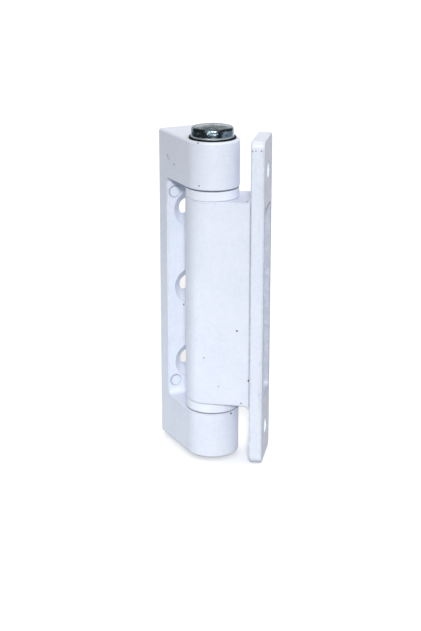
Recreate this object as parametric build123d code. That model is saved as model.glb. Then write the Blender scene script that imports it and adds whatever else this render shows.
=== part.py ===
from build123d import *
import os

# Window hinge in two die-cast leaves, turning on a headed steel pin in flanged nylon bushes. A black
# washer lies under the pin's head.
# Millimetres. +Z runs up along the pin. The origin is the middle of the frame leaf's mounting
# face, which faces +Y. The leaves stand part open, with the sash leaf to the right of the frame leaf.

# Leaves
HINGE_HEIGHT = 100.0
BARREL_DIA = 16.5
KNUCKLE_HEIGHT = 14.5
FRAME_REACH = 21.0
FRAME_PLATE = 6.0
SASH_HEIGHT = 101.8
SASH_REACH = 16.9
SASH_PLATE = 4.1
SASH_PROUD = 0.4
OPEN_ANGLE = 126.0

# Pin, washer and bushes
PIN_DIA = 8.0
PIN_END_CHAMFER = 0.6
PIN_END_RECESS = 0.5
PIN_SEAT_CLEARANCE = 0.01
HEAD_HEIGHT = 3.4
HEAD_CROWN = 0.5
HEAD_ROUND = 0.7
HEAD_LIP = 0.15
HEAD_LIP_HEIGHT = 0.35
HEAD_STEP = 0.5
WASHER_THICKNESS = 0.85
WASHER_RECESS_DEPTH = 0.4
WASHER_RECESS_RIM = 1.15
WASHER_CLEARANCE = 0.05
BUSH_WALL = 1.5
BUSH_LENGTH = 12.0
BUSH_CHAMFER = 0.4
BUSH_SEAT_CLEARANCE = 0.01
FLANGE_THICKNESS = 2.9
FLANGE_INSET = 0.15
FLANGE_CHAMFER = 0.2
RUNNING_CLEARANCE = 0.05
END_CLEARANCE = 0.4

# Screw holes, for countersunk screws with a 90 degree head
SCREW_HOLE_DIA = 5.5
COUNTERSINK_DIA = 11.4
FRAME_SCREW_PITCH = 25.0
SASH_SCREW_FROM_END = 9.9

# Cast edges, cored pockets and ejector marks
FRAME_EDGE_ROUND = 0.7
FRAME_BACK_CHAMFER = 0.6
WINDOW_CORNER = 1.6
WINDOW_CHAMFER = 0.25
RECESS_CHAMFER = 0.15
SASH_CHAMFER = 0.35
SASH_PLATE_CORNER = 2.0
LUG_FILLET = 2.2
LUG_SINK = 0.1
LUG_EDGE_CHAMFER = 0.35
FRAME_CORE_WALL = 3.2
SASH_CORE_WALL = 2.2
CORE_CORNER = 1.5
CORE_DRAFT = 1.5
EJECTOR_DIA = 3.4
EJECTOR_HEIGHT = 0.4
EJECTOR_SPREAD = 11.4
EJECTOR_FROM_BLOCK = 4.5

# Cutters run this far past the faces that they open
OVERCUT = 1.0

# Worked out from the sizes above
AXIS_Y = -FRAME_REACH
TOP = HINGE_HEIGHT / 2
BARREL_R = BARREL_DIA / 2
WINDOW_HEIGHT = HINGE_HEIGHT - 2 * KNUCKLE_HEIGHT
BARREL_HEIGHT = WINDOW_HEIGHT - 2 * (FLANGE_THICKNESS + END_CLEARANCE)
SASH_TOP = SASH_HEIGHT / 2
SASH_WIDTH = BARREL_DIA + 2 * SASH_PROUD
SASH_INNER_FACE = SASH_REACH - SASH_PLATE
BUSH_BORE_R = PIN_DIA / 2 + RUNNING_CLEARANCE
BUSH_R = BUSH_BORE_R + BUSH_WALL
WASHER_SEAT = TOP - WASHER_RECESS_DEPTH
WASHER_RECESS_R = BARREL_R - WASHER_RECESS_RIM
WASHER_R = WASHER_RECESS_R - WASHER_CLEARANCE
HEAD_SEAT = WASHER_SEAT + WASHER_THICKNESS
HEAD_R = WASHER_R - HEAD_STEP

# The sash leaf is modelled with its arm along +X and turned to its open angle about the pin
PIN_AXIS = Pos(0, AXIS_Y, 0)
SASH_PLACE = PIN_AXIS * Rot(0, 0, 90 - OPEN_ANGLE)


def screw_hole(plate):
    """Cutter for a countersunk hole, sunk from a face at Z = 0 down through a plate."""
    sink_depth = (COUNTERSINK_DIA - SCREW_HOLE_DIA) / 2
    sink_height = sink_depth + OVERCUT
    sink = Cone(SCREW_HOLE_DIA / 2, COUNTERSINK_DIA / 2 + OVERCUT, sink_height)
    shank = Cylinder(SCREW_HOLE_DIA / 2, plate + 2 * OVERCUT)
    return Pos(0, 0, OVERCUT - sink_height / 2) * sink + Pos(0, 0, -plate / 2) * shank


def core_pocket(face, width, height, depth):
    """Cutter for a cored pocket: a rounded mouth on a face, drawn in with draft."""
    return extrude(face * RectangleRounded(width, height, CORE_CORNER), depth, taper=CORE_DRAFT)


def frame_leaf():
    """Fork of two end blocks on one plate, cast in one, with the pin bore through both knuckles."""
    plan = Pos(0, AXIS_Y) * Circle(BARREL_R) + Pos(0, AXIS_Y / 2) * Rectangle(BARREL_DIA, FRAME_REACH)
    plan = chamfer(plan.vertices().sort_by(Axis.Y)[-2:], FRAME_BACK_CHAMFER)
    bar = extrude(plan, TOP, both=True)
    ends = bar.faces().sort_by(Axis.Z)
    bar = fillet(ends[0].edges() + ends[-1].edges(), FRAME_EDGE_ROUND)

    # The window between the blocks, open at the front and both sides, for the sash barrel
    window_back = -FRAME_PLATE
    window_front = AXIS_Y - BARREL_R - OVERCUT
    window_depth = window_back - window_front
    opening = Plane.YZ * Pos((window_back + window_front) / 2, 0) * Rectangle(window_depth, WINDOW_HEIGHT)
    opening = fillet(opening.vertices().sort_by(Axis.Y)[-2:], WINDOW_CORNER)
    window = extrude(opening, BARREL_R + OVERCUT, both=True)
    leaf = bar - window
    leaf = chamfer(new_edges(bar, window, combined=leaf), WINDOW_CHAMFER)

    # Pin bore, and the recess for the washer with its rim eased
    leaf -= PIN_AXIS * Cylinder(PIN_DIA / 2 + PIN_SEAT_CLEARANCE, HINGE_HEIGHT + 2 * OVERCUT)
    recess = PIN_AXIS * Pos(0, 0, WASHER_SEAT + TOP) * Cylinder(WASHER_RECESS_R, 2 * TOP)
    before = leaf
    leaf = before - recess
    rim = new_edges(before, recess, combined=leaf).sort_by(Axis.Z)[-1]
    leaf = chamfer(rim, RECESS_CHAMFER)

    # Three screw holes down the plate, sunk from the front
    for row in (-1, 0, 1):
        leaf -= Pos(0, -FRAME_PLATE, row * FRAME_SCREW_PITCH) * Rot(90, 0, 0) * screw_hole(FRAME_PLATE)

    # Raised ejector marks on the plate beside each block, and a cored pocket behind each block
    for end in (-1, 1):
        mark_z = end * (WINDOW_HEIGHT / 2 - EJECTOR_FROM_BLOCK)
        for side in (-1, 1):
            mark = Rot(90, 0, 0) * Cylinder(EJECTOR_DIA / 2, 2 * EJECTOR_HEIGHT)
            leaf += Pos(side * EJECTOR_SPREAD / 2, -FRAME_PLATE, mark_z) * mark
        pocket_z = end * (TOP - KNUCKLE_HEIGHT / 2)
        pocket_face = Plane(origin=(0, 0, pocket_z), x_dir=(1, 0, 0), z_dir=(0, -1, 0))
        pocket_width = BARREL_DIA - 2 * FRAME_CORE_WALL
        pocket_height = KNUCKLE_HEIGHT - 2 * FRAME_CORE_WALL
        pocket_depth = FRAME_REACH - PIN_DIA / 2 - FRAME_CORE_WALL
        leaf -= core_pocket(pocket_face, pocket_width, pocket_height, pocket_depth)
    return leaf


def sash_lug():
    """Barrel and lug of the sash leaf, running into its plate with a fillet above and below."""
    # The lug ends a little inside the plate, so that its fillets cross the plate's inner face
    lug_end = SASH_INNER_FACE + LUG_SINK
    root_height = BARREL_HEIGHT + 4 * LUG_FILLET
    lug_side = Pos((lug_end - BARREL_R) / 2, 0) * Rectangle(lug_end + BARREL_R, BARREL_HEIGHT)
    root_side = Pos(lug_end + SASH_PLATE / 4, 0) * Rectangle(SASH_PLATE / 2, root_height)
    side = lug_side + root_side
    inner_corners = side.vertices().sort_by(lambda v: abs(v.Y) + abs(v.X - lug_end))[:2]
    side = fillet(inner_corners, LUG_FILLET)
    plan = Circle(BARREL_R) + Pos(SASH_REACH / 2, 0) * Rectangle(SASH_REACH, BARREL_DIA)

    slab = extrude(Plane.XZ * side, BARREL_R + OVERCUT, both=True)
    column = extrude(plan, root_height, both=True)
    lug = slab & column
    # Edges above and below the barrel and lug, as far as the plate
    outline = [e for e in lug.edges() if e.bounding_box().max.X < lug_end + LUG_SINK]
    outline = [e for e in outline if e.bounding_box().size.X > LUG_SINK]
    return chamfer(outline, LUG_EDGE_CHAMFER)


def sash_leaf():
    """Long middle barrel on a lug, cast in one with a plate that is cored from its mounting face."""
    plate = Pos(SASH_REACH - SASH_PLATE / 2, 0, 0) * Box(SASH_PLATE, SASH_WIDTH, SASH_HEIGHT)
    plate = fillet(plate.edges().filter_by(Axis.X), SASH_PLATE_CORNER)
    faces = plate.faces().sort_by(Axis.X)
    plate = chamfer(faces[0].edges() + faces[-1].edges(), SASH_CHAMFER)
    leaf = plate + sash_lug()

    leaf -= Cylinder(BUSH_R + BUSH_SEAT_CLEARANCE, BARREL_HEIGHT + 2 * OVERCUT)
    mounting_face = Plane(origin=(SASH_REACH, 0, 0), x_dir=(0, 1, 0), z_dir=(-1, 0, 0))
    pocket_width = BARREL_DIA - 2 * SASH_CORE_WALL
    pocket_height = BARREL_HEIGHT - 2 * SASH_CORE_WALL
    pocket_depth = SASH_REACH - BUSH_R - SASH_CORE_WALL
    leaf -= core_pocket(mounting_face, pocket_width, pocket_height, pocket_depth)
    for end in (-1, 1):
        hole_z = end * (SASH_TOP - SASH_SCREW_FROM_END)
        leaf -= Pos(SASH_INNER_FACE, 0, hole_z) * Rot(0, -90, 0) * screw_hole(SASH_PLATE)
    return SASH_PLACE * leaf


def hinge_pin():
    """Turned pin: a plain shank with a chamfered end, and a low crowned head with a lip at its foot."""
    shank_r = PIN_DIA / 2
    side_r = HEAD_R - HEAD_LIP
    foot = -TOP + PIN_END_RECESS
    head_top = HEAD_SEAT + HEAD_HEIGHT
    shoulder = head_top - HEAD_CROWN
    outline = Polyline(
        (0, head_top),
        (0, foot),
        (shank_r - PIN_END_CHAMFER, foot),
        (shank_r, foot + PIN_END_CHAMFER),
        (shank_r, HEAD_SEAT),
        (HEAD_R, HEAD_SEAT),
        (HEAD_R, HEAD_SEAT + HEAD_LIP_HEIGHT - HEAD_LIP),
        (side_r, HEAD_SEAT + HEAD_LIP_HEIGHT),
        (side_r, shoulder - HEAD_ROUND),
    )
    crown_r = side_r - HEAD_ROUND
    edge = CenterArc((crown_r, shoulder - HEAD_ROUND), HEAD_ROUND, 0, 90)
    # The crown is part of a sphere centred on the pin's axis
    sphere_r = (crown_r**2 + HEAD_CROWN**2) / (2 * HEAD_CROWN)
    half_way = (crown_r / 2, head_top - sphere_r + (sphere_r**2 - crown_r**2 / 4) ** 0.5)
    crown = ThreePointArc((crown_r, shoulder), half_way, (0, head_top))
    section = make_face(outline + edge + crown)
    return PIN_AXIS * revolve(Plane.XZ * section, Axis.Z)


def head_washer():
    """Flat ring that lies in the upper knuckle's recess, under the pin's head."""
    ring = Circle(WASHER_R) - Circle(PIN_DIA / 2 + WASHER_CLEARANCE)
    return PIN_AXIS * Pos(0, 0, WASHER_SEAT) * extrude(ring, WASHER_THICKNESS)


def flanged_bush():
    """Moulded bush standing on its flange at Z = 0, with the sleeve above and a bore for the pin."""
    flange_r = BARREL_R - FLANGE_INSET
    top = FLANGE_THICKNESS + BUSH_LENGTH
    section = make_face(
        Polyline(
            (BUSH_BORE_R, 0),
            (flange_r, 0),
            (flange_r, FLANGE_THICKNESS),
            (BUSH_R, FLANGE_THICKNESS),
            (BUSH_R, top - BUSH_CHAMFER),
            (BUSH_R - BUSH_CHAMFER, top),
            (BUSH_BORE_R, top),
            close=True,
        )
    )
    rim = section.vertices().sort_by(Axis.X)[-2:]
    section = chamfer(rim, FLANGE_CHAMFER)
    return revolve(Plane.XZ * section, Axis.Z)


bush_seat = WINDOW_HEIGHT / 2 - END_CLEARANCE
hinge_parts = {
    "frame_leaf": frame_leaf(),
    "sash_leaf": sash_leaf(),
    "hinge_pin": hinge_pin(),
    "head_washer": head_washer(),
    "upper_bush": SASH_PLACE * Pos(0, 0, bush_seat) * Rot(180, 0, 0) * flanged_bush(),
    "lower_bush": SASH_PLACE * Pos(0, 0, -bush_seat) * flanged_bush(),
}

os.makedirs("parts", exist_ok=True)
for node, solid in hinge_parts.items():
    export_step(solid, f"parts/{node}.step")
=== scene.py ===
import math

import bpy
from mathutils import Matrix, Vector


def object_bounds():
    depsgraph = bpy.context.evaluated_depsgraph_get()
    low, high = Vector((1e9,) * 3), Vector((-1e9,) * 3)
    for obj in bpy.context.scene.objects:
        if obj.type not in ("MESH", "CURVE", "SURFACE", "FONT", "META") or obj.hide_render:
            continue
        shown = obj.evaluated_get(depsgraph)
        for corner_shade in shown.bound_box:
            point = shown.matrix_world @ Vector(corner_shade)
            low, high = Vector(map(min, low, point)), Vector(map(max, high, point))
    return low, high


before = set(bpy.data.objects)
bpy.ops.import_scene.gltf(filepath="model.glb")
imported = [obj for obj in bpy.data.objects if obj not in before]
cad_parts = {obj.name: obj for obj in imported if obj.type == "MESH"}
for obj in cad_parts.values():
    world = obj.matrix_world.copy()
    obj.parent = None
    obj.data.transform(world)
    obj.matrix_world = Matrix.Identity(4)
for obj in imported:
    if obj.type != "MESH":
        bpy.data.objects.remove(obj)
cad_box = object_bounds()

# The frame leaf is a fork cast in one piece: a plate with three countersunk screw holes and an end
# block with a knuckle at each end. It is powder coated in a cool satin white, which leaves a fine
# orange peel and dust baked into the film; the grey in its corners and along its edges is painted shade.


class Wire:
    """One output socket of a node tree. Sums on values add Math nodes, and node() adds any other."""

    def __init__(self, socket):
        self.socket = socket
        self.tree = socket.id_data

    def node(self, kind, settings=None, inputs=None, out=0):
        """Adds a node: its settings first, then the values or links of its sockets. Gives one output."""
        made = self.tree.nodes.new(kind)
        for name, value in (settings or {}).items():
            setattr(made, name, value)
        for name, value in (inputs or {}).items():
            if isinstance(value, Wire):
                self.tree.links.new(value.socket, made.inputs[name])
            else:
                made.inputs[name].default_value = value
        return Wire(made.outputs[out]) if made.outputs else None

    def also(self, out):
        """Another output of the same node."""
        return Wire(self.socket.node.outputs[out])

    def math(self, operation, other=0.0):
        """A Math node on this value and another one."""
        return self.node("ShaderNodeMath", {"operation": operation}, {0: self, 1: other})

    def __add__(self, other):
        return self.math("ADD", other)

    __radd__ = __add__

    def __sub__(self, other):
        return self.math("SUBTRACT", other)

    def __rsub__(self, other):
        return self.node("ShaderNodeMath", {"operation": "SUBTRACT"}, {0: other, 1: self})

    def __mul__(self, other):
        return self.math("MULTIPLY", other)

    __rmul__ = __mul__

    def vector(self, operation, other):
        """A Vector Math node on this vector and another one, with a vector as its result."""
        return self.node("ShaderNodeVectorMath", {"operation": operation}, {0: self, 1: other}, "Vector")

    def along(self, way):
        """How far this vector reaches along a direction."""
        return self.node("ShaderNodeVectorMath", {"operation": "DOT_PRODUCT"}, {0: self, 1: way}, "Value")

    def rise(self):
        """The upright part of this vector."""
        return self.node("ShaderNodeSeparateXYZ", {}, {"Vector": self}, "Z")

    def noise(self, size, detail=2.0, roughness=0.5):
        """Noise over a place, from 0 to 1, with features of a size in metres."""
        inputs = {"Vector": self, "Scale": 1 / size, "Detail": detail, "Roughness": roughness}
        return self.node("ShaderNodeTexNoise", {"noise_dimensions": "3D"}, inputs)

    def step(self, low, high):
        """A smooth step of a value, from 0 at low to 1 at high."""
        inputs = {"Value": self, "From Min": low, "From Max": high}
        return self.node("ShaderNodeMapRange", {"interpolation_type": "SMOOTHSTEP"}, inputs)

    def past(self, limit, fade):
        """A mask that is 1 past a limit, 0 short of it, and fades over a width there."""
        return self.step(limit - fade / 2, limit + fade / 2)

    def within(self, limit, fade):
        """A mask that is 1 short of a limit, 0 past it, and fades over a width there."""
        return self.step(limit + fade / 2, limit - fade / 2)

    def tint(self, ground, over):
        """Lays one colour over another, by this mask."""
        factor = 0
        colour_a = 6
        colour_b = 7
        colour_out = 2
        inputs = {factor: self, colour_a: ground, colour_b: over}
        return self.node("ShaderNodeMix", {"data_type": "RGBA"}, inputs, colour_out)

    def spot(self, centre, radius):
        """A round mask on this place: 1 near a point, 0 past a radius in metres."""
        full_share = 0.65
        inputs = {0: self, 1: centre}
        away = self.node("ShaderNodeVectorMath", {"operation": "DISTANCE"}, inputs, "Value")
        return away.step(radius, radius * full_share)

    def bump(self, strength, depth):
        """The normal of a surface that this value raises, by up to a depth in metres."""
        inputs = {"Strength": strength, "Distance": depth, "Height": self}
        return self.node("ShaderNodeBump", {}, inputs, "Normal")


def new_finish(name):
    """An empty material, and the place on the piece, in metres, that its nodes start from."""
    finish = bpy.data.materials.new(name)
    finish.use_nodes = True
    finish.node_tree.nodes.clear()
    place = finish.node_tree.nodes.new("ShaderNodeTexCoord")
    return finish, Wire(place.outputs["Object"])


def close_finish(place, surface):
    """Ends a material with a shader that has these values and links."""
    shader = place.node("ShaderNodeBsdfPrincipled", {}, surface, "BSDF")
    place.node("ShaderNodeOutputMaterial", {}, {"Surface": shader})


def powder_coat(name, nibs, thin_coat_and_shade=None):
    """Satin white powder coat, with nibs of dust listed as a point and a radius in millimetres.

    Where given, a mask made from the place greys the coat: partly a thin, streaked coat, partly painted
    shade.
    """
    coat_white = (0.735, 0.775, 0.87, 1)
    coat_thin = (0.65, 0.695, 0.80, 1)
    thin_coat_and_shade_grey = (0.42, 0.46, 0.55, 1)
    finish, place = new_finish(name)
    cloud = place.noise(size=0.011, detail=3.0)
    patch = place.noise(size=0.0026)
    mottle = place.noise(size=0.0010)
    grain = place.noise(size=0.00035, detail=1.0)
    thinning = cloud * 0.4 + patch * 0.15 + mottle * 0.3 + grain * 0.4
    colour = thinning.step(0.4, 0.88).tint(coat_white, coat_thin)
    uneven = patch * 0.5 + mottle * 0.5
    # Greys the coat by the mask: partly a thinner, streaked coat, partly painted shade
    if thin_coat_and_shade:
        colour = (thin_coat_and_shade(place) * (uneven + 0.2)).step(0.0, 1.0).tint(colour, thin_coat_and_shade_grey)

    # Bluish dots where the powder flowed thin
    dot_blue = (0.55, 0.60, 0.74, 1)
    dot_spacing = 0.0014
    cells = place.node("ShaderNodeTexVoronoi", {}, {"Vector": place, "Scale": 1 / dot_spacing}, "Distance")
    chance = place.node("ShaderNodeSeparateColor", {}, {"Color": cells.also("Color")}, "Red")
    colour = (cells.step(0.22, 0.06) * chance.step(0.80, 0.90) * 0.5).tint(colour, dot_blue)

    # Painted shade: inner corners of the piece are greyed where they are closed in
    corner_shade_grey = (0.42, 0.45, 0.53, 1)
    corner_shade_reach = 0.001
    own_corners = {"samples": 8, "only_local": True}
    corner_shade = place.node("ShaderNodeAmbientOcclusion", own_corners, {"Distance": corner_shade_reach}, "AO")
    colour = (corner_shade.step(0.98, 0.55) * 0.9).tint(colour, corner_shade_grey)

    # Painted shade along every edge, uneven in strength
    edge_shade_grey = (0.24, 0.27, 0.34, 1)
    edge_shade_width = 0.0004
    eased = place.node("ShaderNodeBevel", {"samples": 6}, {"Radius": edge_shade_width}, "Normal")
    facing = place.node("ShaderNodeNewGeometry", {}, {}, "Normal")
    edge = 1 - eased.along(facing)
    colour = (edge.step(0.01, 0.12) * (uneven + 0.3)).tint(colour, edge_shade_grey)

    # Dust nibs, each a little uneven in outline
    nib_dark = (0.07, 0.07, 0.09, 1)
    nib_sway = 0.0003
    shake_size = 0.0004
    shake = place.node("ShaderNodeTexNoise", {}, {"Vector": place, "Scale": 1 / shake_size}, "Color")
    shift = {0: shake, 1: (nib_sway, nib_sway, nib_sway), 2: place}
    ragged = place.node("ShaderNodeVectorMath", {"operation": "MULTIPLY_ADD"}, shift)
    dirt = 0.0
    for *centre, radius in nibs:
        dirt = dirt + ragged.spot([c / 1000 + nib_sway / 2 for c in centre], radius / 1000)
    colour = dirt.math("MINIMUM", 0.9).tint(colour, nib_dark)

    peel = patch * 0.4 + mottle * 0.6 + grain * 0.45 + dirt * 0.5
    surface = {
        "Base Color": colour,
        "Roughness": cloud * 0.14 + 0.38,
        "Normal": peel.bump(strength=0.65, depth=0.00009),
    }
    close_finish(place, surface)
    return finish


# Dust on the knuckles, the plate and the side of the upper block
frame_nibs = [
    (2.6, -28.8, -36.0, 0.42),
    (-2.8, -6.0, -6.1, 0.3),
    (-6.9, -25.3, 49.7, 0.3),
    (-6.8, -25.7, 36.9, 0.28),
    (-8.25, -6.7, 42.7, 0.3),
    (-8.25, -7.1, 42.2, 0.3),
    (-8.25, -7.8, 41.7, 0.28),
    (-8.25, -11.4, 40.7, 0.32),
]
frame_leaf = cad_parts["frame_leaf"]
frame_leaf.material_slots[0].material = powder_coat("frame_leaf_coat", frame_nibs)

# The sash leaf is the other casting: a long barrel on a lug, and a plate that is cored out from its
# mounting face. It has the same powder coat, greyer on that face, partly from a thinner coat and
# partly as painted shade, and swings on the pin with its two bushes.

# Dust on the barrel, the lug and the plate's narrow edge
sash_nibs = [
    (2.4, -32.9, -7.6, 0.38),
    (5.4, -35.1, -23.5, 0.45),
    (5.6, -33.0, 32.4, 0.5),
    (3.5, -33.7, -31.1, 0.28),
    (-5.8, -26.9, -16.9, 0.25),
    (-2.2, -29.6, -26.0, 0.25),
    (5.7, -35.8, 48.0, 0.22),
    (6.5, -36.4, 48.1, 0.18),
    (7.8, -37.4, 48.2, 0.25),
]

# Limits in metres of the places greyed as a thin coat and as painted shade, each at or just inside a
# face of the leaf: out from the pin's axis, across the plate, and up from the leaf's middle
pin_axis = (0.0, -0.021, 0.0)
sash_arm = (0.80902, -0.58779, 0.0)
sash_across = (0.58779, 0.80902, 0.0)
pocket_floor = 0.00765
pocket_side = 0.0062
pocket_end = 0.0301
mount_face = 0.0168
plate_edge = 0.0085
plate_root = 0.0128
root_shadow_half = 0.00025
lug_side = 0.0079
lug_end = 0.03235


def thin_coat_and_shade_places(place):
    """Mask of the mounting face and its cored pocket, greyed partly as a thin coat and partly as painted
    shade, a painted shadow line at the plate's root, and streaks on its narrow edges.
    """
    from_pin = place.vector("SUBTRACT", pin_axis)
    out = from_pin.along(sash_arm)
    across = from_pin.along(sash_across).math("ABSOLUTE")
    up = place.rise().math("ABSOLUTE")
    pocket = across.within(pocket_side, fade=0.0002) * up.within(pocket_end, fade=0.0002)
    pocket = pocket * out.past(pocket_floor, fade=0.0003)
    face = out.past(mount_face, fade=0.0001)
    # A painted shadow line along the plate's root, where the lug meets the proud plate
    root_shadow_line = (out - plate_root).math("ABSOLUTE").within(root_shadow_half, fade=0.0003)
    root_shadow_line = root_shadow_line * across.past(lug_side, fade=0.0002) * up.within(lug_end, fade=0.0003)
    upright_stretch = (1.0, 1.0, 0.12)
    streak = place.vector("MULTIPLY", upright_stretch).noise(size=0.0009, detail=3.0, roughness=0.6)
    edge = across.past(plate_edge, fade=0.0001) * streak.step(0.5, 0.75) * 0.55
    return pocket.math("MAXIMUM", face).math("MAXIMUM", edge).math("MAXIMUM", root_shadow_line)


sash_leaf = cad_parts["sash_leaf"]
sash_leaf.material_slots[0].material = powder_coat("sash_leaf_coat", sash_nibs, thin_coat_and_shade_places)

# The two bushes are moulded in white nylon and pressed into the ends of the long barrel. Only the rim
# of each flange shows, as a ring between the barrel and a knuckle, with faint rings from the mould,
# and painted shade where it meets its neighbours.
nylon_white = (0.77, 0.81, 0.90, 1)
nylon_grey = (0.70, 0.74, 0.83, 1)
nylon_joint_shade = (0.40, 0.43, 0.50, 1)
joint_shade_reach = 0.0007
ring_stretch = (0.2, 0.2, 6.0)
nylon, place = new_finish("bush_nylon")
rings = place.vector("MULTIPLY", ring_stretch).noise(size=0.0011)
flow = place.noise(size=0.004, detail=3.0)
colour = (rings * 0.5 + flow * 0.5).step(0.3, 0.75).tint(nylon_white, nylon_grey)
# Painted shade where the flange meets the barrel and the knuckles
joint_shade = place.node("ShaderNodeAmbientOcclusion", {"samples": 8}, {"Distance": joint_shade_reach}, "AO")
surface = {
    "Base Color": (joint_shade.step(0.95, 0.45) * 0.8).tint(colour, nylon_joint_shade),
    "Roughness": flow * 0.15 + 0.42,
    "Normal": rings.bump(strength=0.4, depth=0.00003),
}
close_finish(place, surface)
for name in ("upper_bush", "lower_bush"):
    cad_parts[name].material_slots[0].material = nylon

# The pin is turned from steel and polished dark. Its low crowned head stands on the upper knuckle,
# with fine rings left by the tool on top, hairline scratches, and a painted highlight on the lip at its
# foot.
steel_grey = (0.37, 0.48, 0.56, 1)
steel_dull = (0.17, 0.23, 0.26, 1)
steel_lip_highlight = (0.62, 0.68, 0.72, 1)
lip_top = 0.05085
lip_inside = 0.0061
level_part = (1.0, 1.0, 0.0)
smear_stretch = (1.0, 1.0, 1.8)
hair_stretch = (1.0, 9.0, 3.0)
steel, place = new_finish("pin_steel")
flat = place.vector("SUBTRACT", pin_axis).vector("MULTIPLY", level_part)
radius = flat.node("ShaderNodeVectorMath", {"operation": "LENGTH"}, {0: flat}, "Value")
turning = place.node("ShaderNodeCombineXYZ", {}, {"X": radius}).noise(size=0.0002)
smear = place.vector("MULTIPLY", smear_stretch).noise(size=0.0024, detail=3.0)
hair = place.vector("MULTIPLY", hair_stretch).noise(size=0.0016, detail=1.0).step(0.70, 0.76)
# A painted reflection: a bright band along the lip at the head's foot
lip_highlight = place.rise().within(lip_top, fade=0.0003) * radius.past(lip_inside, fade=0.0002)
lip_highlight = lip_highlight * (0.6 + smear * 0.4)
polished = (smear.step(0.35, 0.65) * 0.8 + hair * 0.2).tint(steel_grey, steel_dull)
surface = {
    "Base Color": lip_highlight.tint(polished, steel_lip_highlight),
    "Metallic": 1.0 - lip_highlight * 0.5,
    "Roughness": smear * 0.14 + turning * 0.06 + lip_highlight * 0.25 + 0.11,
    "Normal": (turning * 0.35 + smear * 1.1 + hair * 0.2).bump(strength=0.9, depth=0.0003),
}
close_finish(place, surface)
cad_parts["hinge_pin"].material_slots[0].material = steel

# The washer under the head is a flat ring punched from black rubber. It lies in a shallow recess of
# the upper knuckle and is dulled by dust.
rubber_black = (0.004, 0.004, 0.005, 1)
rubber_dust = (0.022, 0.022, 0.025, 1)
rubber, place = new_finish("washer_rubber")
dust = place.noise(size=0.0009, detail=3.0)
pores = place.noise(size=0.00025, detail=1.0)
surface = {
    "Base Color": dust.step(0.45, 0.85).tint(rubber_black, rubber_dust),
    "Roughness": dust * 0.25 + 0.6,
    "Specular IOR Level": 0.25,
    "Normal": pores.bump(strength=0.5, depth=0.00004),
}
close_finish(place, surface)
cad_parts["head_washer"].material_slots[0].material = rubber

# The floor is a wide sheet of white paper under the hinge. It glows a little, to stay pale in the
# hinge's shadow, and throws no light back on it.
paper_white = (0.96, 0.96, 0.96, 1)
paper_grey = (0.94, 0.94, 0.94, 1)
floor_half = 6.0
floor_level = cad_box[0].z
floor_mesh = bpy.data.meshes.new("floor")
sides = ((-1, -1), (1, -1), (1, 1), (-1, 1))
corners = [(x * floor_half, y * floor_half, floor_level) for x, y in sides]
floor_mesh.from_pydata(corners, [], [(0, 1, 2, 3)])
floor = bpy.data.objects.new("floor", floor_mesh)
bpy.context.scene.collection.objects.link(floor)
paper, place = new_finish("floor_paper")
surface = {
    "Base Color": place.noise(size=0.05).tint(paper_grey, paper_white),
    "Roughness": 0.9,
    "Emission Color": (1, 1, 1, 1),
    "Emission Strength": 0.06,
}
close_finish(place, surface)
floor_mesh.materials.append(paper)
floor.visible_diffuse = False
floor.visible_glossy = False

# The light is a lamp just above the camera, in a white room that is brighter on the right and behind
# the hinge, and a white card low on the left. In polish the room is dark but for the backdrop, a card
# in front and a patch of ceiling.
view_way = (0.442, 0.897, 0.0)
view_right = (0.897, -0.442, 0.0)
bright_side = (0.49, 0.2, 0.27)
room_level = 0.595
behind_level = 0.4
backdrop_level = 0.95
card_level = 4.5
ceiling_level = 0.9
dark_level = 0.03
room = bpy.data.worlds.new("room")
room.use_nodes = True
room.node_tree.nodes.clear()
bpy.context.scene.world = room
way = Wire(room.node_tree.nodes.new("ShaderNodeTexCoord").outputs["Generated"])
rise = way.rise()
ahead = way.along(view_way)
aside = way.along(view_right)
plain = way.along(bright_side) + room_level + ahead.step(0.3, 0.9) * behind_level
backdrop = ahead.step(0.6, 0.85) * rise.step(0.52, 0.16)
front_card = aside.math("ABSOLUTE").step(0.38, 0.22) * ahead.step(-0.5, -0.6)
front_card = front_card * rise.step(0.0, 0.1) * rise.step(0.75, 0.6)
ceiling = rise.step(0.92, 0.99)
polish = backdrop * backdrop_level + front_card * card_level + ceiling * ceiling_level + dark_level
in_polish = way.node("ShaderNodeLightPath", {}, {}, "Is Glossy Ray")
level = in_polish * polish + (1 - in_polish) * plain
sky = way.node("ShaderNodeBackground", {}, {"Color": (1, 1, 1, 1), "Strength": level})
way.node("ShaderNodeOutputWorld", {}, {"Surface": sky})

lamp_way = Vector((-0.383, -0.821, 0.423))
lamp_light = bpy.data.lights.new("lamp", "SUN")
lamp_light.energy = 2.6
lamp_light.angle = math.radians(9)
lamp = bpy.data.objects.new("lamp", lamp_light)
lamp.rotation_euler = lamp_way.to_track_quat("Z", "Y").to_euler()
bpy.context.scene.collection.objects.link(lamp)

card_way = Vector((-1, 0, 0))
card_light = bpy.data.lights.new("low_card", "AREA")
card_light.shape = "RECTANGLE"
card_light.size = 0.10
card_light.size_y = 0.06
card_light.energy = 0.17
card_light.color = (0.88, 0.94, 1.0)
low_card = bpy.data.objects.new("low_card", card_light)
low_card.location = (-0.125, -0.015, -0.06)
low_card.rotation_euler = card_way.to_track_quat("Z", "Y").to_euler()
low_card.visible_camera = False
bpy.context.scene.collection.objects.link(low_card)

# The camera stands half a metre off, to the left of the hinge's front, and looks down on it through a
# long lens.
camera_down = math.radians(18.112)
camera_turn = math.radians(-26.247)
camera_data = bpy.data.cameras.new("camera")
camera_data.sensor_width = 36.0
camera_data.lens = 85.4
camera_data.clip_start = 0.01
camera_data.clip_end = 50.0
camera = bpy.data.objects.new("camera", camera_data)
camera.location = (-0.19517, -0.41548, 0.13817)
camera.rotation_euler = (math.radians(90) - camera_down, 0, camera_turn)
bpy.context.scene.collection.objects.link(camera)
bpy.context.scene.camera = camera
bpy.context.scene.view_settings.view_transform = "Standard"
